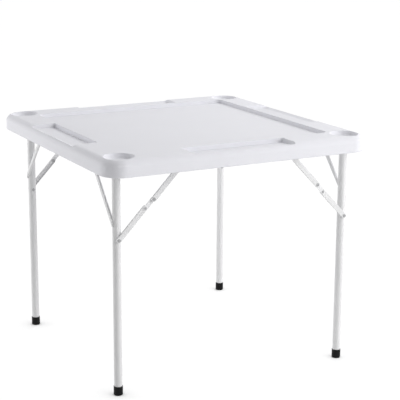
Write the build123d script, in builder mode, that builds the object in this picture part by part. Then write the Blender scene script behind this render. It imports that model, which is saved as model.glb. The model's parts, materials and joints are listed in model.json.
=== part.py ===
from build123d import *
import math
import os

# Folding card table: a square blow-moulded top on four folding tube legs.
# Millimetres, +Z up, origin on the floor under the centre of the top.
# Left is -X, right is +X, front is -Y, back is +Y.
# Each leg folds inwards along X, about a hinge bar that runs along Y.

# Overall
table_side = 889.0
table_height = 737.0

# Table top: outer shell
skirt_depth = 51.0
outer_corner_radius = 62.0
top_edge_radius = 23.0
skirt_edge_radius = 3.0

# Table top: play field, cup wells and tile trays pressed into the upper side
field_inset = 96.5
field_depth = 12.5
field_corner_radius = 20.0
field_wall_angle = 12.0
rim_radius = 1.5
cup_inset = 61.5
cup_mouth_diameter = 90.0
cup_wall_angle = 27.0
cup_depth = 14.0
cup_floor_radius = 9.0
ridge_width = 9.0
tray_length = 349.0
tray_corner_radius = 8.0
tray_inner_depth = 14.5
tray_outer_depth = 10.5
tray_lip_reach = 20.5
tray_lip_depth = 2.8
tray_lip_blend = 10.0
tray_end_slope = 6.5
tray_side_slope = 2.0

# Table top: underside recess that takes the folded legs
side_rim_width = 49.5
end_rim_width = 37.5
recess_corner_radius = 12.0
panel_thickness = 22.0

# Legs, feet, hinge bars and their sleeves
leg_diameter = 25.0
leg_wall = 1.5
foot_diameter = 28.0
foot_height = 28.0
foot_floor = 4.0
foot_edge_radius = 3.0
bar_diameter = 16.0
bar_wall = 1.5
bar_end_seat = 9.0
sleeve_diameter = 20.0
sleeve_outer_reach = 12.5
sleeve_inner_reach = 158.0
running_clearance = 0.1
fit_gap = 0.05

# Fixed braces between a leg and its sleeve
brace_width = 14.0
brace_depth = 7.5
brace_wall = 1.5
brace_edge_radius = 3.2
brace_seat_depth = 0.7
brace_drop = 166.0
brace_reach = 148.0
brace_top_trim = 3.0
brace_leg_trim = 2.0
brace_end_wall = 3.0
brace_rim_gap = 1.2

# Where the legs stand when folded
fold_gap = 2.0
nest_gap = 1.7
right_hinge_drop = 5.0

# Folding stays: lower strut, knuckle link, upper strut and table bracket
stay_width = 16.0
stay_depth = 5.5
stay_wall = 1.5
stay_edge_radius = 1.0
stay_leg_gap = 0.5
layer_gap = 0.3
link_width = 14.0
link_thickness = 1.5
leg_pivot_drop = 217.5
table_pivot_reach = 212.0
table_pivot_rise = 4.0
lower_strut_length = 121.0
link_length = 36.0
flange_cutback = 15.0
rivet_radius = 3.0
rivet_head_radius = 5.0
rivet_head_height = 1.2
leg_rivet_head_height = 1.5
rivet_head_fillet = 0.7
knuckle_head_radius = 4.2
knuckle_head_height = 1.0
collar_radius = 4.5
column_radius = 3.8
pocket_gap = 3.7
pocket_end_gap = 8.0

# Table brackets
bracket_thickness = 1.5
bracket_ear_width = 16.0
bracket_flange_width = 38.0
bracket_flange_length = 22.0
bracket_corner_radius = 3.0
bracket_screw_spacing = 24.0

# Bar clamps, centre stretcher and screws
clamp_width = 16.0
clamp_thickness = 1.5
clamp_foot_reach = 17.5
clamp_setback = 25.0
clamp_screw_spacing = 27.5
boss_half_width = 20.0
boss_margin = 1.0
boss_rise = 1.0
stretcher_diameter = 13.0
stretcher_wall = 1.2
screw_radius = 2.0
screw_head_radius = 3.6
screw_head_height = 2.2
screw_bite = 6.0
drive_length = 4.0
drive_width = 0.9
drive_depth = 0.8

# Heights and half sizes that follow from these
half_side = table_side / 2
field_side = table_side - 2 * field_inset
cup_spacing = table_side - 2 * cup_inset
flat_half_side = half_side - top_edge_radius
skirt_bottom_z = table_height - skirt_depth
ceiling_z = table_height - panel_thickness
side_rim_x = half_side - side_rim_width
end_rim_y = half_side - end_rim_width
leg_radius = leg_diameter / 2
foot_radius = foot_diameter / 2
bar_radius = bar_diameter / 2
sleeve_radius = sleeve_diameter / 2
screw_tip_z = ceiling_z + screw_bite

# Layers of a folding stay, measured outwards from the leg's axis
lower_inner = leg_radius + stay_leg_gap
lower_outer = lower_inner + stay_depth
lower_web = lower_outer - stay_wall
link_inner = lower_outer + layer_gap
link_outer = link_inner + link_thickness
upper_inner = link_outer + knuckle_head_height + layer_gap
upper_outer = upper_inner + stay_depth
upper_web = upper_outer - stay_wall
stack_outer = upper_outer + rivet_head_height
ear_outer = upper_web - layer_gap
ear_inner = ear_outer - bracket_thickness

# Hinges and legs: the right pair folds outside the left pair and a little lower
brace_inner = sleeve_radius - brace_seat_depth
brace_outer = brace_inner + brace_depth
hinge_x = side_rim_x - brace_rim_gap - brace_outer
right_leg_y = end_rim_y - fold_gap - foot_radius
left_leg_y = right_leg_y - foot_radius - nest_gap - stack_outer
left_hinge_z = ceiling_z - fold_gap - leg_radius
right_hinge_z = left_hinge_z - right_hinge_drop
bar_half_length = end_rim_y + bar_end_seat

# The stay stands straight when the leg is down
stay_run = table_pivot_reach
stay_climb = leg_pivot_drop + table_pivot_rise
stay_length = math.hypot(stay_run, stay_climb)
upper_strut_length = stay_length - lower_strut_length - link_length

# Each corner: name, side along X, side along Y
corners = [
    ("front_left", -1, -1),
    ("back_left", -1, 1),
    ("front_right", 1, -1),
    ("back_right", 1, 1),
]


def leg_y(side_x):
    """Distance of a leg from the middle of the table along Y."""
    return left_leg_y if side_x < 0 else right_leg_y


def hinge_z(side_x):
    """Height of the hinge axis on that side."""
    return left_hinge_z if side_x < 0 else right_hinge_z


def clamp_y(side_x):
    """Distance of a bar clamp from the middle of the table along Y."""
    return leg_y(side_x) - sleeve_inner_reach - clamp_setback


def bracket_screw_y(side_x):
    """Middle of a bracket's flange: outwards on the left, inwards on the right."""
    if side_x < 0:
        return leg_y(side_x) + ear_inner + bracket_flange_length / 2
    return leg_y(side_x) + ear_outer - bracket_flange_length / 2


def xz_plane(y):
    """Plane across the table at that Y, drawn in X and Z, facing the front."""
    return Plane(origin=(0, y, 0), x_dir=(1, 0, 0), z_dir=(0, -1, 0))


def yz_plane(x):
    """Plane along the table at that X, drawn in Y and Z, facing right."""
    return Plane(origin=(x, 0, 0), x_dir=(0, 1, 0), z_dir=(1, 0, 0))


def stay_point(side_x, along):
    """X and Z of the point that lies that far up the straight stay from the leg pivot."""
    share = along / stay_length
    x = side_x * (hinge_x - share * stay_run)
    z = hinge_z(side_x) - leg_pivot_drop + share * stay_climb
    return x, z


def stay_angle(side_x):
    """Slope of the straight stay in the XZ plane, in degrees."""
    return math.degrees(math.atan2(stay_climb, -side_x * stay_run))


def leg_layer(side_x, side_y, distance):
    """XZ plane that lies that far outwards from the leg's axis."""
    return xz_plane(side_y * (leg_y(side_x) + distance))


def rivet(side_x, side_y, point, sections):
    """A rivet along Y through that point: discs of radius, start and end distance."""
    with BuildPart() as pin:
        for radius, start, end in sections:
            with BuildSketch(leg_layer(side_x, side_y, start)):
                with Locations(point):
                    Circle(radius)
            extrude(amount=-side_y * (end - start))
        rings = pin.edges().filter_by(GeomType.CIRCLE).sort_by(Axis.Y)
        fillet(rings[-1 if side_y > 0 else 0], rivet_head_fillet)
    return pin


def finish(builder, name):
    """Labels a finished piece and writes it."""
    builder.part.label = name
    export_step(builder.part, f"parts/{name}.step")


os.makedirs("parts", exist_ok=True)

# Screw places, seen from below
bracket_screws = []
for _, side_x, side_y in corners:
    pivot_x = stay_point(side_x, stay_length)[0]
    for shift in (-bracket_screw_spacing / 2, bracket_screw_spacing / 2):
        bracket_screws.append((pivot_x + shift, side_y * bracket_screw_y(side_x)))


def clamp_screws_on(side_x):
    """Screw places of the two bar clamps on that side."""
    places = []
    for side_y in (-1, 1):
        for shift in (-clamp_screw_spacing / 2, clamp_screw_spacing / 2):
            places.append((side_x * hinge_x + shift, side_y * clamp_y(side_x)))
    return places


# One tray: steep along the field and at its ends, with a floor that rises a
# little towards the table's edge and ends in a low lip on the rounded edge
tray_inner_y = field_side / 2 + ridge_width
tray_width = half_side + tray_corner_radius - tray_inner_y
with BuildPart() as tray_space:
    with BuildSketch(Plane.XY.offset(table_height)):
        with Locations((0, tray_inner_y + tray_width / 2)):
            RectangleRounded(tray_length, tray_width, tray_corner_radius)
    with BuildSketch(Plane.XY.offset(table_height - tray_inner_depth)):
        with Locations((0, tray_inner_y + tray_side_slope + tray_width / 2)):
            RectangleRounded(tray_length - 2 * tray_end_slope, tray_width, tray_corner_radius)
    loft(ruled=True)
    with BuildSketch(yz_plane(0)):
        with BuildLine():
            Polyline(
                (tray_inner_y, table_height - tray_inner_depth),
                (half_side - tray_lip_reach, table_height - tray_outer_depth),
                (half_side, table_height - tray_lip_depth),
                (half_side, table_height),
                (tray_inner_y, table_height),
                close=True,
            )
        make_face()
        fillet(vertices().sort_by(Axis.X)[2], tray_lip_blend)
    extrude(amount=tray_length / 2, both=True, mode=Mode.INTERSECT)

# One cup well: a shallow bowl with a flat floor
cup_mouth_radius = cup_mouth_diameter / 2
cup_narrowing = cup_depth * math.tan(math.radians(cup_wall_angle))
with BuildPart() as cup_space:
    with BuildSketch(Plane.XZ):
        with BuildLine():
            Polyline(
                (0, table_height - cup_depth),
                (cup_mouth_radius - cup_narrowing, table_height - cup_depth),
                (cup_mouth_radius, table_height),
                (0, table_height),
                close=True,
            )
        make_face()
        fillet(vertices().group_by(Axis.Y)[0].sort_by(Axis.X)[-1], cup_floor_radius)
    revolve(axis=Axis.Z)


def on_tray_rim(edge):
    """Whether a level edge at the table's height belongs to a tray's rim."""
    middle = edge.center()
    outwards = max(abs(middle.X), abs(middle.Y))
    sideways = min(abs(middle.X), abs(middle.Y))
    within_flat = tray_inner_y - fit_gap < outwards < flat_half_side - fit_gap
    return within_flat and sideways < tray_length / 2 + fit_gap


# Table top
with BuildPart() as table_top:
    with BuildSketch(Plane.XY.offset(skirt_bottom_z)):
        RectangleRounded(table_side, table_side, outer_corner_radius)
    extrude(amount=skirt_depth)
    fillet(table_top.faces().sort_by(Axis.Z)[-1].edges(), top_edge_radius)
    fillet(table_top.faces().sort_by(Axis.Z)[0].edges(), skirt_edge_radius)

    # Play field, cup wells and trays, with rounded rims
    with BuildSketch(Plane.XY.offset(table_height)):
        RectangleRounded(field_side, field_side, field_corner_radius)
    extrude(amount=-field_depth, taper=field_wall_angle, mode=Mode.SUBTRACT)
    fillet(table_top.faces().sort_by(Axis.Z)[-1].inner_wires().edges(), rim_radius)
    with GridLocations(cup_spacing, cup_spacing, 2, 2):
        add(cup_space.part, mode=Mode.SUBTRACT)
    cup_walls = table_top.faces(Select.LAST).filter_by(GeomType.CONE)
    fillet(
        cup_walls.edges().filter_by(lambda edge: edge.center().Z > table_height - cup_depth / 4),
        rim_radius,
    )
    for quarter in range(4):
        add(tray_space.part.rotate(Axis.Z, quarter * 90), mode=Mode.SUBTRACT)
    level_edges = table_top.edges().filter_by_position(Axis.Z, table_height, table_height)
    fillet(level_edges.filter_by(on_tray_rim), rim_radius)

    # Underside recess
    with BuildSketch(Plane.XY.offset(skirt_bottom_z)):
        RectangleRounded(2 * side_rim_x, 2 * end_rim_y, recess_corner_radius)
    extrude(amount=ceiling_z - skirt_bottom_z, mode=Mode.SUBTRACT)

    # Pockets in the end rims for the right-hand stays
    pocket_start = table_pivot_reach - upper_strut_length - stay_width / 2 - pocket_end_gap
    pocket_end = leg_pivot_drop + stay_width / 2 + pocket_end_gap
    pocket_outer_y = right_leg_y + stack_outer + pocket_gap
    with BuildSketch(Plane.XY.offset(skirt_bottom_z)):
        with Locations((hinge_x - (pocket_start + pocket_end) / 2, 0)):
            Rectangle(pocket_end - pocket_start, 2 * pocket_outer_y)
    extrude(amount=ceiling_z - skirt_bottom_z, mode=Mode.SUBTRACT)

    # Moulded bosses for the bar clamps
    for side_x in (-1, 1):
        boss_bottom = hinge_z(side_x) + boss_rise
        with BuildSketch(Plane.XY.offset(boss_bottom)):
            with Locations(*[(side_x * hinge_x, side_y * clamp_y(side_x)) for side_y in (-1, 1)]):
                Rectangle(2 * boss_half_width, clamp_width + 2 * boss_margin)
        extrude(amount=ceiling_z - boss_bottom)
        with BuildSketch(Plane.XY.offset(boss_bottom)):
            with Locations(*clamp_screws_on(side_x)):
                Circle(screw_radius + fit_gap)
        extrude(amount=screw_tip_z - boss_bottom, mode=Mode.SUBTRACT)

    # Grooves for the hinge bars, through the bosses and into the end rims
    for side_x in (-1, 1):
        groove_radius = bar_radius + fit_gap
        groove_height = hinge_z(side_x) - skirt_bottom_z
        with BuildSketch(xz_plane(0)):
            with Locations((side_x * hinge_x, hinge_z(side_x))):
                Circle(groove_radius)
            with Locations((side_x * hinge_x, hinge_z(side_x) - groove_height / 2)):
                Rectangle(2 * groove_radius, groove_height)
        extrude(amount=bar_half_length + fit_gap, both=True, mode=Mode.SUBTRACT)

    # Screw holes for the brackets
    with BuildSketch(Plane.XY.offset(ceiling_z)):
        with Locations(*bracket_screws):
            Circle(screw_radius + fit_gap)
    extrude(amount=screw_bite, mode=Mode.SUBTRACT)
finish(table_top, "table_top")

# Hinge bars
for side_name, side_x in (("left", -1), ("right", 1)):
    with BuildPart() as hinge_bar:
        with BuildSketch(xz_plane(0)):
            with Locations((side_x * hinge_x, hinge_z(side_x))):
                Circle(bar_radius)
                Circle(bar_radius - bar_wall, mode=Mode.SUBTRACT)
        extrude(amount=bar_half_length, both=True)
    finish(hinge_bar, f"hinge_bar_{side_name}")

# Centre stretcher, coped to both hinge bars
with BuildPart() as centre_stretcher:
    with BuildSketch(yz_plane(0)):
        with Locations((0, (left_hinge_z + right_hinge_z) / 2)):
            Circle(stretcher_diameter / 2)
            Circle(stretcher_diameter / 2 - stretcher_wall, mode=Mode.SUBTRACT)
    extrude(amount=hinge_x, both=True)
    with BuildSketch(xz_plane(0)):
        for side_x in (-1, 1):
            with Locations((side_x * hinge_x, hinge_z(side_x))):
                Circle(bar_radius)
    extrude(amount=stretcher_diameter, both=True, mode=Mode.SUBTRACT)
finish(centre_stretcher, "centre_stretcher")

# Bar clamps: a strap under the bar, screwed to the bosses by two feet
for name, side_x, side_y in corners:
    foot_top = hinge_z(side_x) + boss_rise
    strap_radius = bar_radius + fit_gap
    strap_outer = strap_radius + clamp_thickness
    with BuildPart() as bar_clamp:
        with BuildSketch(xz_plane(side_y * clamp_y(side_x))):
            with Locations((side_x * hinge_x, hinge_z(side_x))):
                Circle(strap_outer)
            with Locations((side_x * hinge_x, foot_top - clamp_thickness / 2)):
                Rectangle(2 * clamp_foot_reach, clamp_thickness)
            with Locations((side_x * hinge_x, hinge_z(side_x))):
                Circle(strap_radius, mode=Mode.SUBTRACT)
            with Locations((side_x * hinge_x, foot_top + strap_outer / 2)):
                Rectangle(2 * strap_outer, strap_outer, mode=Mode.SUBTRACT)
        extrude(amount=clamp_width / 2, both=True)
        with BuildSketch(Plane.XY.offset(foot_top - clamp_thickness)):
            with Locations(*clamp_screws_on(side_x)):
                Circle(screw_radius + fit_gap)
        extrude(amount=clamp_thickness, mode=Mode.SUBTRACT)
    finish(bar_clamp, f"bar_clamp_{name}")


def screw_set(places, seat_z):
    """Cross-head screws driven upwards against that seat."""
    with BuildPart() as screws:
        with BuildSketch(Plane.XY.offset(seat_z - screw_head_height)):
            with Locations(*places):
                Circle(screw_head_radius)
        extrude(amount=screw_head_height)
        with BuildSketch(Plane.XY.offset(seat_z)):
            with Locations(*places):
                Circle(screw_radius)
        extrude(amount=screw_tip_z - seat_z)
        with BuildSketch(Plane.XY.offset(seat_z - screw_head_height)):
            with Locations(*places):
                Rectangle(drive_length, drive_width)
                Rectangle(drive_width, drive_length)
        extrude(amount=drive_depth, mode=Mode.SUBTRACT)
    return screws


left_clamp_screws = screw_set(clamp_screws_on(-1), left_hinge_z + boss_rise - clamp_thickness)
right_clamp_screws = screw_set(clamp_screws_on(1), right_hinge_z + boss_rise - clamp_thickness)
with BuildPart() as clamp_screws:
    add(left_clamp_screws.part)
    add(right_clamp_screws.part)
finish(clamp_screws, "clamp_screws")

finish(screw_set(bracket_screws, ceiling_z - bracket_thickness), "bracket_screws")

# Table brackets: a flange on the ceiling and an ear down to the stay's pivot
for name, side_x, side_y in corners:
    pivot_x, pivot_z = stay_point(side_x, stay_length)
    with BuildPart() as bracket:
        with BuildSketch(Plane.XY.offset(ceiling_z - bracket_thickness)):
            with Locations((pivot_x, side_y * bracket_screw_y(side_x))):
                RectangleRounded(bracket_flange_width, bracket_flange_length, bracket_corner_radius)
        extrude(amount=bracket_thickness)
        with BuildSketch(leg_layer(side_x, side_y, ear_inner)):
            with Locations((pivot_x, pivot_z)):
                Circle(bracket_ear_width / 2)
            with Locations((pivot_x, (pivot_z + ceiling_z) / 2)):
                Rectangle(bracket_ear_width, ceiling_z - pivot_z)
        extrude(amount=-side_y * bracket_thickness)
        with BuildSketch(leg_layer(side_x, side_y, ear_inner)):
            with Locations((pivot_x, pivot_z)):
                Circle(rivet_radius + fit_gap)
        extrude(amount=-side_y * bracket_thickness, mode=Mode.SUBTRACT)
        with BuildSketch(Plane.XY.offset(ceiling_z - bracket_thickness)):
            with Locations(*bracket_screws):
                Circle(screw_radius + fit_gap)
        extrude(amount=bracket_thickness, mode=Mode.SUBTRACT)
    finish(bracket, f"stay_bracket_{name}")

# Rivets that hang the upper struts on the brackets
bracket_rivet_sections = [
    (rivet_head_radius, ear_inner - rivet_head_height, ear_inner),
    (rivet_radius, ear_inner, upper_outer),
    (rivet_head_radius, upper_outer, stack_outer),
]
pins = []
for _, side_x, side_y in corners:
    pins.append(rivet(side_x, side_y, stay_point(side_x, stay_length), bracket_rivet_sections))
with BuildPart() as bracket_rivets:
    for pin in pins:
        add(pin.part)
finish(bracket_rivets, "bracket_rivets")

for name, side_x, side_y in corners:
    axis_x = side_x * hinge_x
    axis_y = side_y * leg_y(side_x)
    axis_z = hinge_z(side_x)
    leg_pivot = stay_point(side_x, 0)
    lower_knuckle = stay_point(side_x, lower_strut_length)
    upper_knuckle = stay_point(side_x, lower_strut_length + link_length)
    table_pivot = stay_point(side_x, stay_length)
    slope = stay_angle(side_x)

    # Leg tube, coped under its sleeve and drilled for the stay's rivet
    with BuildPart() as leg:
        with BuildSketch(Plane.XY.offset(foot_floor)):
            with Locations((axis_x, axis_y)):
                Circle(leg_radius)
                Circle(leg_radius - leg_wall, mode=Mode.SUBTRACT)
        extrude(amount=axis_z - foot_floor)
        with BuildSketch(xz_plane(axis_y)):
            with Locations((axis_x, axis_z)):
                Circle(sleeve_radius)
            with Locations(leg_pivot):
                Circle(rivet_radius + fit_gap)
        extrude(amount=leg_radius, both=True, mode=Mode.SUBTRACT)
    finish(leg, f"leg_{name}")

    # Foot cap
    with BuildPart() as foot_cap:
        with BuildSketch(Plane.XY):
            with Locations((axis_x, axis_y)):
                Circle(foot_radius)
        extrude(amount=foot_height)
        fillet(foot_cap.faces().sort_by(Axis.Z)[0].edges(), foot_edge_radius)
        with BuildSketch(Plane.XY.offset(foot_floor)):
            with Locations((axis_x, axis_y)):
                Circle(leg_radius + fit_gap)
        extrude(amount=foot_height - foot_floor, mode=Mode.SUBTRACT)
    finish(foot_cap, f"foot_cap_{name}")

    # Hinge sleeve that turns on the bar
    sleeve_length = sleeve_inner_reach + sleeve_outer_reach
    with BuildPart() as hinge_sleeve:
        with BuildSketch(leg_layer(side_x, side_y, -sleeve_inner_reach)):
            with Locations((axis_x, axis_z)):
                Circle(sleeve_radius)
                Circle(bar_radius + running_clearance, mode=Mode.SUBTRACT)
        extrude(amount=-side_y * sleeve_length)
    finish(hinge_sleeve, f"hinge_sleeve_{name}")

    # Fixed brace: a flattened tube on the outer side of the leg, seated on leg
    # and sleeve, and closed at the end beside the leg
    brace_angle = math.degrees(math.atan2(brace_drop, -side_y * brace_reach))
    brace_axis = Axis((0, 0, 0), (0, -side_y * brace_reach, brace_drop))
    brace_span = 2 * math.hypot(brace_drop, brace_reach)
    brace_middle = (axis_y - side_y * brace_reach / 2, axis_z - brace_drop / 2)
    trim_top = axis_z + brace_top_trim
    trim_inner = leg_y(side_x) - sleeve_inner_reach
    trim_outer = leg_y(side_x) + brace_leg_trim
    with BuildPart() as brace:
        with BuildSketch(yz_plane(side_x * (hinge_x + brace_inner))):
            with Locations(brace_middle):
                Rectangle(brace_span, brace_width, rotation=brace_angle)
            with Locations((side_y * (trim_inner + trim_outer) / 2, trim_top - brace_span / 2)):
                Rectangle(trim_outer - trim_inner, brace_span, mode=Mode.INTERSECT)
        extrude(amount=side_x * brace_depth)
        fillet(brace.edges().filter_by(brace_axis), brace_edge_radius)
        with BuildSketch(yz_plane(side_x * (hinge_x + brace_inner + brace_wall))):
            with Locations(brace_middle):
                Rectangle(brace_span, brace_width - 2 * brace_wall, rotation=brace_angle)
            with Locations((side_y * (trim_inner + trim_outer) / 2 - side_y * brace_end_wall, axis_z)):
                Rectangle(trim_outer - trim_inner, 2 * brace_span, mode=Mode.INTERSECT)
        extrude(amount=side_x * (brace_depth - 2 * brace_wall), mode=Mode.SUBTRACT)
        with BuildSketch(Plane.XY):
            with Locations((axis_x, axis_y)):
                Circle(leg_radius)
        extrude(amount=axis_z, mode=Mode.SUBTRACT)
        with BuildSketch(xz_plane(axis_y)):
            with Locations((axis_x, axis_z)):
                Circle(sleeve_radius)
        extrude(amount=sleeve_length, both=True, mode=Mode.SUBTRACT)
    finish(brace, f"leg_brace_{name}")

    # Rivet through the leg that carries the stay
    leg_rivet_sections = [
        (rivet_head_radius, -leg_radius - rivet_head_height, -leg_radius),
        (rivet_radius, -leg_radius, leg_radius),
        (collar_radius, leg_radius, lower_web - fit_gap),
        (rivet_radius, lower_web - fit_gap, lower_outer),
        (rivet_head_radius, lower_outer, lower_outer + leg_rivet_head_height),
    ]
    finish(rivet(side_x, side_y, leg_pivot, leg_rivet_sections), f"leg_rivet_{name}")

    # Lower strut: a channel with its web outwards
    middle = stay_point(side_x, lower_strut_length / 2)
    with BuildPart() as lower_strut:
        with BuildSketch(leg_layer(side_x, side_y, lower_inner)):
            with Locations(middle):
                SlotCenterToCenter(lower_strut_length, stay_width, rotation=slope)
        extrude(amount=-side_y * stay_depth)
        fillet(lower_strut.faces().sort_by(Axis.Y)[-1 if side_y > 0 else 0].edges(), stay_edge_radius)
        with BuildSketch(leg_layer(side_x, side_y, lower_inner)):
            with Locations(middle):
                SlotCenterToCenter(lower_strut_length, stay_width - 2 * stay_wall, rotation=slope)
        extrude(amount=-side_y * (stay_depth - stay_wall), mode=Mode.SUBTRACT)
        with BuildSketch(leg_layer(side_x, side_y, lower_inner)):
            with Locations(leg_pivot, lower_knuckle):
                Circle(rivet_radius + fit_gap)
        extrude(amount=-side_y * stay_depth, mode=Mode.SUBTRACT)
    finish(lower_strut, f"lower_strut_{name}")

    # Knuckle rivet between the lower strut and the link
    lower_knuckle_sections = [
        (rivet_head_radius, lower_web - rivet_head_height, lower_web),
        (rivet_radius, lower_web, link_outer),
        (knuckle_head_radius, link_outer, link_outer + knuckle_head_height),
    ]
    finish(rivet(side_x, side_y, lower_knuckle, lower_knuckle_sections), f"lower_knuckle_rivet_{name}")

    # Knuckle link, with the tail of the upper knuckle rivet on its inner side
    with BuildPart() as knuckle_link:
        with BuildSketch(leg_layer(side_x, side_y, link_inner)):
            with Locations(stay_point(side_x, lower_strut_length + link_length / 2)):
                SlotCenterToCenter(link_length, link_width, rotation=slope)
            with Locations(lower_knuckle):
                Circle(rivet_radius + fit_gap, mode=Mode.SUBTRACT)
        extrude(amount=-side_y * link_thickness)
        with BuildSketch(leg_layer(side_x, side_y, link_inner)):
            with Locations(upper_knuckle):
                Circle(knuckle_head_radius)
        extrude(amount=side_y * knuckle_head_height)
    finish(knuckle_link, f"knuckle_link_{name}")

    # Upper knuckle rivet, fixed in the upper strut and bearing on the link
    upper_knuckle_sections = [
        (column_radius, link_outer + layer_gap, upper_web),
        (rivet_radius, upper_web, upper_outer),
        (rivet_head_radius, upper_outer, stack_outer),
    ]
    finish(rivet(side_x, side_y, upper_knuckle, upper_knuckle_sections), f"upper_knuckle_rivet_{name}")

    # Upper strut: the same channel, flat at the end that hangs on the bracket
    middle = stay_point(side_x, stay_length - upper_strut_length / 2)
    tab_length = flange_cutback + stay_width
    tab_middle = stay_point(side_x, stay_length + tab_length / 2 - flange_cutback)
    with BuildPart() as upper_strut:
        with BuildSketch(leg_layer(side_x, side_y, upper_inner)):
            with Locations(middle):
                SlotCenterToCenter(upper_strut_length, stay_width, rotation=slope)
        extrude(amount=-side_y * stay_depth)
        fillet(upper_strut.faces().sort_by(Axis.Y)[-1 if side_y > 0 else 0].edges(), stay_edge_radius)
        with BuildSketch(leg_layer(side_x, side_y, upper_inner)):
            with Locations(middle):
                SlotCenterToCenter(upper_strut_length, stay_width - 2 * stay_wall, rotation=slope)
            with Locations(tab_middle):
                Rectangle(tab_length, stay_width, rotation=slope)
        extrude(amount=-side_y * (stay_depth - stay_wall), mode=Mode.SUBTRACT)
        with BuildSketch(leg_layer(side_x, side_y, upper_inner)):
            with Locations(upper_knuckle, table_pivot):
                Circle(rivet_radius + fit_gap)
        extrude(amount=-side_y * stay_depth, mode=Mode.SUBTRACT)
    finish(upper_strut, f"upper_strut_{name}")
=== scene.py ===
"""Looks of a folding card table: moulded top, powder-coated folding legs and a pale studio floor."""

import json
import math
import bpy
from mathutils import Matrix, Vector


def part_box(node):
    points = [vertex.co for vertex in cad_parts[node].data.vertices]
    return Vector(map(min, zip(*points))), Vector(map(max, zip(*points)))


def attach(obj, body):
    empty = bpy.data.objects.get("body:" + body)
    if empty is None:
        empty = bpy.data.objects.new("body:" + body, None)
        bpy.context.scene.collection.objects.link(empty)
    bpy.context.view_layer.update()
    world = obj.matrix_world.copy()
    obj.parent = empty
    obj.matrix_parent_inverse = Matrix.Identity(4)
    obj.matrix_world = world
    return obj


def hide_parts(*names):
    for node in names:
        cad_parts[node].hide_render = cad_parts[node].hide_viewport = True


bl_info = {
    "name": "Folding card table",
    "version": (1, 0, 0),
    "blender": (4, 5, 0),
    "location": "3D View > Sidebar > Card table",
    "description": "Dresses a folding card table frame and sets its studio",
    "category": "Object",
}

import bmesh
import bpy
from mathutils import Matrix, Vector

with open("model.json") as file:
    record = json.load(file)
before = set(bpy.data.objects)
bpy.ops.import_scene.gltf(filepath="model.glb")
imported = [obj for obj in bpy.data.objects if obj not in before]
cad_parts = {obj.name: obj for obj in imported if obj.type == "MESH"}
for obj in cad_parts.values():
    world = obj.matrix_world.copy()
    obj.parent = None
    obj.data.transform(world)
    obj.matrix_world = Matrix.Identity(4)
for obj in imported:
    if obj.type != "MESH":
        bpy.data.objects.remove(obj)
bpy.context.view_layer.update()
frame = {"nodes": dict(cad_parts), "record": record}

MILLI = 0.001
MERGE_DISTANCE = 0.01 * MILLI
SLOT_ROUND_SHARE = 0.48
SLOT_ROUND_STEPS = 3
FILM_WIDTH = 36.0
WHITE = (1.0, 1.0, 1.0, 1.0)
FLOOR_GREY = (0.9, 0.9, 0.9, 1.0)
TOP_LOW, TOP_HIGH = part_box("table_top")
CEILING_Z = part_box("stay_bracket_front_left")[1].z


def length(name, description, millimetres):
    """A length property, in metres, whose default is given in millimetres."""
    return bpy.props.FloatProperty(
        name=name, description=description, default=millimetres * MILLI, unit="LENGTH", precision=4
    )


def colour(name, description, red, green, blue):
    """A linear colour property."""
    return bpy.props.FloatVectorProperty(
        name=name, description=description, subtype="COLOR", size=3, min=0, max=1,
        default=(red, green, blue),
    )


def number(name, description, value):
    """A plain number property."""
    return bpy.props.FloatProperty(name=name, description=description, default=value, precision=3)


def place(name, description, x, y, z):
    """A place in metres."""
    return bpy.props.FloatVectorProperty(
        name=name, description=description, subtype="XYZ", size=3, default=(x, y, z)
    )


def angle(name, description, degrees):
    """An angle property, whose default is given in degrees."""
    return bpy.props.FloatProperty(
        name=name, description=description, default=math.radians(degrees), subtype="ANGLE", precision=4
    )


class TablePits(bpy.types.PropertyGroup):
    """Tack-off pits pressed up into the underside of the moulded top."""

    pitch: length("Pitch", "Distance from one pit to the next", 38.5)
    slot_length: length("Length", "Length of a pit", 26.5)
    slot_width: length("Width", "Width of a pit", 9.5)
    depth: length("Depth", "How far a pit reaches into the panel", 8.0)
    each_way: bpy.props.IntProperty(
        name="Each way", description="Pits from the middle to the edge", default=8
    )
    extra_spread: length("Extra columns", "Distance between the two added columns", 678.0)
    rim_depth: length("Rim depth", "How far a pit reaches into the side rims", 12.0)
    rim_pair: length("Rim pair", "Distance between the two pits of a pair", 24.0)
    rim_first: bpy.props.IntProperty(
        name="Rim first", description="First row with pits in the rims", default=5
    )
    rim_width: length("Rim width", "Width of the side rims", 49.5)
    crease: angle("Crease", "Smallest turn between two faces that stays a sharp edge", 28)


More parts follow.
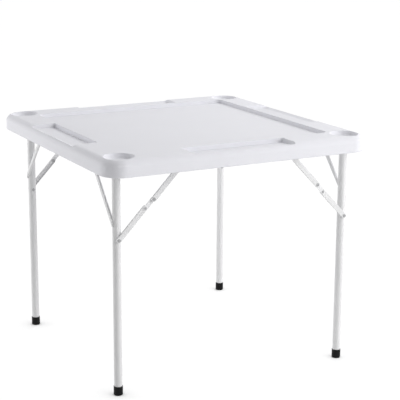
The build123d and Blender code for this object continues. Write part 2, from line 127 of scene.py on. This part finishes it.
class TableFinishes(bpy.types.PropertyGroup):
    """Colours and surface sizes of the table's finishes."""

    top: colour("Top", "Moulded plastic of the top", 0.81, 0.81, 0.85)
    coat: colour("Frame", "Powder coat of the legs and braces", 0.80, 0.80, 0.805)
    link: colour("Links", "Plated steel of the knuckle links", 0.84, 0.84, 0.85)
    rivet: colour("Rivets", "Plated steel of the rivets and screws", 0.38, 0.38, 0.39)
    foot: colour("Feet", "Black plastic of the foot caps", 0.0025, 0.0025, 0.003)
    pebble: length("Pebble", "Size of the grain on the moulded top", 1.6)
    pebble_depth: length("Pebble depth", "Depth of the grain on the moulded top", 0.4)
    pebble_bump: number("Pebble bump", "Strength of the grain on the moulded top", 0.35)
    pebble_tone: number("Pebble tone", "How much the grain darkens the top, beside the flow marks", 0.3)
    flow: length("Flow marks", "Size of the flow marks in the moulded top", 144.0)
    top_shade: number("Top shade", "Darkest tone of the top, as a share of its colour", 0.95)
    top_gloss: number("Top gloss", "Specular level of the top", 0.3)
    top_roughness: number("Top roughness", "Roughness of the top between its flow marks", 0.58)
    flow_roughness: number("Flow roughness", "What a flow mark adds to the roughness", 0.10)
    peel: length("Peel", "Size of the ripples in the powder coat", 2.2)
    peel_depth: length("Peel depth", "Depth of the ripples in the powder coat", 0.176)
    patch: length("Patches", "Size of the faint patches in the powder coat", 88.0)
    coat_shade: number("Coat shade", "Darkest tone of the coat, as a share of its colour", 0.93)
    coat_roughness: number("Coat roughness", "Roughness of the coat between its ripples", 0.32)
    peel_roughness: number("Peel roughness", "What a ripple adds to the roughness", 0.10)
    cloud: length("Cloud", "Size of the cloudy marks on plated steel", 8.8)
    cloud_depth: length("Cloud depth", "Depth of the cloudy marks on plated steel", 0.066)
    steel_shade: number("Steel shade", "Darkest tone of plated steel, as a share of its colour", 0.8)
    steel_roughness: number("Steel roughness", "Roughness of plated steel between its marks", 0.30)
    cloud_roughness: number("Cloud roughness", "What a cloudy mark adds to the roughness", 0.25)
    link_metal: number("Link metal", "How metallic the knuckle links look", 0.2)
    rivet_metal: number("Rivet metal", "How metallic the rivets and screws look", 0.7)
    satin: length("Satin", "Size of the grain on the foot caps", 1.28)
    satin_depth: length("Satin depth", "Depth of the grain on the foot caps", 0.16)
    foot_shade: number("Foot shade", "Darkest tone of the caps, as a share of their colour", 0.7)
    foot_gloss: number("Foot gloss", "Specular level of the foot caps", 0.17)
    foot_roughness: number("Foot roughness", "Roughness of the foot caps between their grain", 0.42)
    satin_roughness: number("Satin roughness", "What the grain adds to the roughness", 0.15)
    fine_bump: number("Fine bump", "Strength of the grain on the coat, steel and caps", 0.3)


class TableStage(bpy.types.PropertyGroup):
    """Camera, lamps and floor."""

    yaw: angle("Yaw", "Camera's turn to the right of the front", 28.159)
    pitch: angle("Pitch", "Camera's look downwards", 14.132)
    roll: angle("Roll", "Camera's tilt", 0.341)
    eye: place("Eye", "Camera's place", -1.7709, -3.4621, 1.4593)
    focal: number("Focal length", "Lens in millimetres on a 36 mm frame", 109.8)
    key: number("Key lamp", "Power of the soft lamp on the right of the front", 156.0)
    fill: number("Fill lamp", "Power of the soft lamp low on the left", 51.0)
    overhead: number("Overhead lamp", "Power of the broad lamp over the table", 45.0)
    key_place: place("Key place", "Where the key lamp hangs", 2.5, -3.1, 2.4)
    fill_place: place("Fill place", "Where the fill lamp hangs", -2.8, 1.9, 1.2)
    overhead_place: place("Overhead place", "Where the overhead lamp hangs", 1.8, 1.2, 3.2)
    key_side: length("Key side", "Side of the key lamp", 4200.0)
    fill_side: length("Fill side", "Side of the fill lamp", 2000.0)
    overhead_side: length("Overhead side", "Side of the overhead lamp", 2600.0)
    sky: number("Sky", "Strength of the even light all round", 0.30)
    white: number("White", "Strength that the camera sees as white", 1.0)
    floor_white: number("Floor white", "The same for the floor, which is mixed with its shaded part", 1.06)
    floor_plain: number("Plain floor", "Share of the open floor that isn't shaded", 0.93)
    # Painted contact shade: ambient occlusion beside a foot takes away part of the floor's plain white and
    # shows more of its lit diffuse part.
    painted_contact_strength: number("Contact", "How much more of the floor is shaded beside a foot", 1.7)
    painted_contact_reach: length("Contact reach", "How far from a foot the floor darkens", 120.0)
    floor_side: bpy.props.FloatProperty(
        name="Floor", description="Side of the floor", default=60.0, unit="LENGTH"
    )


class Wire:
    """A node's output, with arithmetic that adds Math nodes."""

    def __init__(self, finish, socket):
        self.finish = finish
        self.socket = socket

    def maths(self, operation, first, second):
        return self.finish.node("ShaderNodeMath", {"operation": operation}, {0: first, 1: second})

    def __add__(self, other):
        return self.maths("ADD", self, other)

    def __radd__(self, other):
        return self.maths("ADD", other, self)

    def __sub__(self, other):
        return self.maths("SUBTRACT", self, other)

    def __rsub__(self, other):
        return self.maths("SUBTRACT", other, self)

    def __mul__(self, other):
        return self.maths("MULTIPLY", self, other)

    def __rmul__(self, other):
        return self.maths("MULTIPLY", other, self)


class Finish:
    """A material and the one method that adds its nodes."""

    def __init__(self, name):
        self.material = bpy.data.materials.new(name)
        self.material.use_nodes = True
        self.tree = self.material.node_tree
        self.tree.nodes.clear()

    def node(self, kind, settings, inputs, output=0):
        """Adds a node, sets it up, fills or links its sockets and returns one output."""
        made = self.tree.nodes.new(kind)
        for key, value in settings.items():
            setattr(made, key, value)
        for key, value in inputs.items():
            if isinstance(value, Wire):
                self.tree.links.new(value.socket, made.inputs[key])
            else:
                made.inputs[key].default_value = value
        return Wire(self, made.outputs[output] if made.outputs else None)

    def coordinates(self):
        """Object coordinates."""
        return self.node("ShaderNodeTexCoord", {}, {}, output="Object")

    def grain(self, size, detail=2.0):
        """Noise from 0 to 1 whose lumps are that many metres across."""
        return self.node(
            "ShaderNodeTexNoise", {}, {"Vector": self.coordinates(), "Scale": 1.0 / size, "Detail": detail}
        )

    def tint(self, base, mask, darkest):
        """The base colour, darkened by up to that share where the mask is 0."""
        shade = mask * (1.0 - darkest) + darkest
        return self.node(
            "ShaderNodeVectorMath", {"operation": "SCALE"}, {0: tuple(base), "Scale": shade}
        )

    def bump(self, height, depth, strength):
        """A normal that follows that height."""
        return self.node("ShaderNodeBump", {}, {"Height": height, "Distance": depth, "Strength": strength})

    def surface(self, **inputs):
        """The shader and the output."""
        shader = self.node("ShaderNodeBsdfPrincipled", {}, inputs)
        self.node("ShaderNodeOutputMaterial", {}, {"Surface": shader})
        return self.material


def moulded_plastic():
    """Off-white plastic with a fine pebble grain and faint flow marks."""
    sizes = bpy.context.scene.table_finishes
    finish = Finish("moulded_plastic")
    pebble = finish.grain(sizes.pebble)
    flow = finish.grain(sizes.flow)
    tone = flow * (1.0 - sizes.pebble_tone) + pebble * sizes.pebble_tone
    return finish.surface(**{
        "Base Color": finish.tint(sizes.top, tone, sizes.top_shade),
        "Roughness": flow * sizes.flow_roughness + sizes.top_roughness,
        "Specular IOR Level": sizes.top_gloss,
        "Normal": finish.bump(pebble, sizes.pebble_depth, sizes.pebble_bump),
    })


def powder_coat():
    """Light grey powder coat with an orange-peel ripple."""
    sizes = bpy.context.scene.table_finishes
    finish = Finish("powder_coat")
    peel = finish.grain(sizes.peel, detail=1.0)
    patches = finish.grain(sizes.patch)
    return finish.surface(**{
        "Base Color": finish.tint(sizes.coat, patches, sizes.coat_shade),
        "Roughness": peel * sizes.peel_roughness + sizes.coat_roughness,
        "Normal": finish.bump(peel, sizes.peel_depth, sizes.fine_bump),
    })


def plated_steel(name, base, metallic):
    """Zinc-plated steel, brushed and a little cloudy."""
    sizes = bpy.context.scene.table_finishes
    finish = Finish(name)
    cloud = finish.grain(sizes.cloud, detail=4.0)
    return finish.surface(**{
        "Base Color": finish.tint(base, cloud, sizes.steel_shade),
        "Metallic": metallic,
        "Roughness": cloud * sizes.cloud_roughness + sizes.steel_roughness,
        "Normal": finish.bump(cloud, sizes.cloud_depth, sizes.fine_bump),
    })


def foot_plastic():
    """Black plastic with a soft satin grain."""
    sizes = bpy.context.scene.table_finishes
    finish = Finish("foot_plastic")
    grain = finish.grain(sizes.satin)
    return finish.surface(**{
        "Base Color": finish.tint(sizes.foot, grain, sizes.foot_shade),
        "Roughness": grain * sizes.satin_roughness + sizes.foot_roughness,
        "Specular IOR Level": sizes.foot_gloss,
        "Normal": finish.bump(grain, sizes.satin_depth, sizes.fine_bump),
    })


def studio_floor():
    """White to the camera but for part of the object's shadow and a painted contact shade beside the feet,
    and open from below.
    """
    studio = bpy.context.scene.table_stage
    finish = Finish("studio_floor")
    path = finish.node("ShaderNodeLightPath", {}, {}, output="Is Camera Ray")
    glossy = finish.node("ShaderNodeLightPath", {}, {}, output="Is Glossy Ray")
    shaded = finish.node("ShaderNodeBsdfDiffuse", {}, {"Color": FLOOR_GREY})
    plain = finish.node("ShaderNodeEmission", {}, {"Color": WHITE, "Strength": studio.floor_white})
    # Painted contact shade: ambient occlusion lowers the share of plain white beside the feet, so the
    # floor darkens there on top of the real lamp shadow in its diffuse part.
    painted_contact_mask = finish.node(
        "ShaderNodeAmbientOcclusion", {"samples": 16}, {"Distance": studio.painted_contact_reach}, output="AO"
    )
    share = (path + glossy) * (painted_contact_mask * studio.painted_contact_strength - (studio.painted_contact_strength - studio.floor_plain))
    mixed = finish.node("ShaderNodeMixShader", {}, {0: share, 1: shaded, 2: plain})
    below = finish.node("ShaderNodeNewGeometry", {}, {}, output="Backfacing")
    clear = finish.node("ShaderNodeBsdfTransparent", {}, {})
    sided = finish.node("ShaderNodeMixShader", {}, {0: below, 1: mixed, 2: clear})
    finish.node("ShaderNodeOutputMaterial", {}, {"Surface": sided})
    return finish.material


def new_piece(name, mesh, body, material):
    """Links a finished mesh as a piece of the table."""
    piece = bpy.data.objects.new(name, mesh)
    bpy.context.scene.collection.objects.link(piece)
    piece.data.materials.clear()
    piece.data.materials.append(material)
    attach(piece, body)
    return piece


def pit_places(pits):
    """Middles of the pits: those along Y and those along X, for the panel and for the rims."""
    panel = {"y": [], "x": []}
    rims = {"y": [], "x": []}
    for column in range(-pits.each_way, pits.each_way + 1):
        for row in range(-pits.each_way, pits.each_way + 1):
            way = "y" if (column + row) % 2 else "x"
            panel[way].append((column * pits.pitch, row * pits.pitch))
    for row in range(1 - pits.each_way, pits.each_way, 2):
        for side in (-1, 1):
            panel["y"].append((side * pits.extra_spread / 2, row * pits.pitch))
    for side in (-1, 1):
        middle = side * (TOP_HIGH.x - pits.rim_width / 2)
        for end in (-1, 1):
            for row in range(pits.rim_first, pits.each_way + 1):
                if row % 2:
                    rims["x"].append((middle, end * row * pits.pitch))
                else:
                    for shift in (-pits.rim_pair / 2, pits.rim_pair / 2):
                        rims["y"].append((middle + shift, end * row * pits.pitch))
    return panel, rims


def add_slot_cutters(cutters, pits, places, way, floor_z, depth):
    """Adds one closed slot block for each place, from below the floor up to its depth."""
    reach = depth * 2
    for x, y in places:
        slot = bmesh.ops.create_cube(cutters, size=1.0)["verts"]
        edges = {edge for vert in slot for edge in vert.link_edges}
        upright = [edge for edge in edges if abs(edge.verts[0].co.z - edge.verts[1].co.z) > MILLI]
        size = (pits.slot_width, pits.slot_length) if way == "y" else (pits.slot_length, pits.slot_width)
        bmesh.ops.scale(cutters, vec=(size[0], size[1], reach), verts=slot)
        bmesh.ops.translate(cutters, vec=(x, y, floor_z + depth - reach / 2), verts=slot)
        bmesh.ops.bevel(
            cutters, geom=upright, offset=pits.slot_width * SLOT_ROUND_SHARE,
            segments=SLOT_ROUND_STEPS, affect="EDGES", profile=0.5, material=-1,
        )


class CARDTABLE_OT_top(bpy.types.Operator):
    """Moulds the pits into the underside of the top and gives the top its pebbled plastic"""

    bl_idname = "cardtable.top"
    bl_label = "Moulded top"

    def execute(self, context):
        pits = context.scene.table_pits
        panel, rims = pit_places(pits)
        cutters = bmesh.new()
        for way in ("x", "y"):
            add_slot_cutters(cutters, pits, panel[way], way, CEILING_Z, pits.depth)
            add_slot_cutters(cutters, pits, rims[way], way, TOP_LOW.z, pits.rim_depth)
        cutter_mesh = bpy.data.meshes.new("pit_cutters")
        cutters.to_mesh(cutter_mesh)
        cutters.free()
        cutter = bpy.data.objects.new("pit_cutters", cutter_mesh)
        context.scene.collection.objects.link(cutter)

        shell = bmesh.new()
        shell.from_mesh(frame["nodes"]["table_top"].data)
        bmesh.ops.remove_doubles(shell, verts=shell.verts, dist=MERGE_DISTANCE)
        mesh = bpy.data.meshes.new("moulded_top")
        shell.to_mesh(mesh)
        shell.free()
        blank = bpy.data.objects.new("moulded_top_blank", mesh)
        context.scene.collection.objects.link(blank)
        cut = blank.modifiers.new("pits", "BOOLEAN")
        cut.operation = "DIFFERENCE"
        cut.solver = "EXACT"
        cut.object = cutter
        evaluated = blank.evaluated_get(context.evaluated_depsgraph_get())
        finished = bpy.data.meshes.new_from_object(evaluated)
        bpy.data.objects.remove(blank)
        bpy.data.objects.remove(cutter)
        finished.attributes.remove(finished.attributes["custom_normal"])
        shading = bmesh.new()
        shading.from_mesh(finished)
        for face in shading.faces:
            face.smooth = True
        for edge in shading.edges:
            edge.smooth = edge.calc_face_angle(0.0) < pits.crease
        shading.to_mesh(finished)
        shading.free()
        top = new_piece("moulded_top", finished, "top", moulded_plastic())
        weighted = top.modifiers.new("weighted", "WEIGHTED_NORMAL")
        weighted.keep_sharp = True
        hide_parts("table_top")
        return {"FINISHED"}


class CARDTABLE_OT_frame(bpy.types.Operator):
    """Gives the legs, bars, stays and fasteners their coats and plating"""

    bl_idname = "cardtable.frame"
    bl_label = "Frame finishes"

    def execute(self, context):
        sizes = context.scene.table_finishes
        by_slot = {
            "frame_metal": powder_coat(),
            "link_metal": plated_steel("link_steel", sizes.link, sizes.link_metal),
            "fastener_steel": plated_steel("rivet_steel", sizes.rivet, sizes.rivet_metal),
            "foot_plastic": foot_plastic(),
        }
        for subpart in frame["record"]["subparts"]:
            material = by_slot.get(subpart["material_slot"])
            if material:
                node = frame["nodes"][subpart["node"]]
                node.data.materials.clear()
                node.data.materials.append(material)
        return {"FINISHED"}


class CARDTABLE_OT_stage(bpy.types.Operator):
    """Sets the floor, the sky, the lamps and the camera"""

    bl_idname = "cardtable.stage"
    bl_label = "Studio"

    def add_lamp(self, name, place, target, size, power):
        """A square soft lamp that faces the target."""
        data = bpy.data.lights.new(name, "AREA")
        data.size = size
        data.energy = power
        lamp = bpy.data.objects.new(name, data)
        bpy.context.scene.collection.objects.link(lamp)
        lamp.location = place
        lamp.rotation_euler = (Vector(target) - Vector(place)).to_track_quat("-Z", "Y").to_euler()

    def execute(self, context):
        studio = context.scene.table_stage
        ground = bmesh.new()
        bmesh.ops.create_grid(ground, x_segments=1, y_segments=1, size=studio.floor_side / 2)
        ground_mesh = bpy.data.meshes.new("floor")
        ground.to_mesh(ground_mesh)
        ground.free()
        floor = bpy.data.objects.new("floor", ground_mesh)
        context.scene.collection.objects.link(floor)
        floor.data.materials.append(studio_floor())

        world = bpy.data.worlds.new("studio")
        context.scene.world = world
        world.use_nodes = True
        tree = world.node_tree
        tree.nodes.clear()
        path = tree.nodes.new("ShaderNodeLightPath")
        seen = tree.nodes.new("ShaderNodeMath")
        seen.operation = "MAXIMUM"
        strength = tree.nodes.new("ShaderNodeMapRange")
        strength.inputs["To Min"].default_value = studio.sky
        strength.inputs["To Max"].default_value = studio.white
        sky = tree.nodes.new("ShaderNodeBackground")
        sky.inputs["Color"].default_value = WHITE
        output = tree.nodes.new("ShaderNodeOutputWorld")
        tree.links.new(path.outputs["Is Camera Ray"], seen.inputs[0])
        tree.links.new(path.outputs["Is Glossy Ray"], seen.inputs[1])
        tree.links.new(seen.outputs[0], strength.inputs["Value"])
        tree.links.new(strength.outputs[0], sky.inputs["Strength"])
        tree.links.new(sky.outputs[0], output.inputs["Surface"])

        middle = (0.0, 0.0, TOP_LOW.z)
        self.add_lamp("key", studio.key_place, middle, studio.key_side, studio.key)
        self.add_lamp("fill", studio.fill_place, middle, studio.fill_side, studio.fill)
        self.add_lamp("overhead", studio.overhead_place, middle, studio.overhead_side, studio.overhead)

        data = bpy.data.cameras.new("camera")
        data.lens = studio.focal
        data.sensor_width = FILM_WIDTH
        camera = bpy.data.objects.new("camera", data)
        context.scene.collection.objects.link(camera)
        turn = Matrix.Rotation(-studio.yaw, 4, "Z") @ Matrix.Rotation(math.pi / 2 - studio.pitch, 4, "X")
        camera.matrix_world = Matrix.Translation(studio.eye) @ turn @ Matrix.Rotation(studio.roll, 4, "Z")
        context.scene.camera = camera
        context.scene.view_settings.view_transform = "Standard"
        return {"FINISHED"}


class CARDTABLE_PT_panel(bpy.types.Panel):
    """Lists the table's operators in the sidebar"""

    bl_idname = "CARDTABLE_PT_panel"
    bl_label = "Card table"
    bl_space_type = "VIEW_3D"
    bl_region_type = "UI"
    bl_category = "Card table"

    def draw(self, context):
        for operator in OPERATORS:
            self.layout.operator(operator.bl_idname)


GROUPS = {"table_pits": TablePits, "table_finishes": TableFinishes, "table_stage": TableStage}
OPERATORS = (CARDTABLE_OT_top, CARDTABLE_OT_frame, CARDTABLE_OT_stage)


def register():
    """Registers the classes and hangs their properties on the scene."""
    for name, group in GROUPS.items():
        bpy.utils.register_class(group)
        setattr(bpy.types.Scene, name, bpy.props.PointerProperty(type=group))
    for made in (*OPERATORS, CARDTABLE_PT_panel):
        bpy.utils.register_class(made)


def unregister():
    """Takes the classes and properties away again."""
    for made in (CARDTABLE_PT_panel, *reversed(OPERATORS)):
        bpy.utils.unregister_class(made)
    for name, group in GROUPS.items():
        delattr(bpy.types.Scene, name)
        bpy.utils.unregister_class(group)


def main():
    """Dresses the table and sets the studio."""
    register()
    bpy.ops.cardtable.top()
    bpy.ops.cardtable.frame()
    bpy.ops.cardtable.stage()


if __name__ == "__main__":
    main()
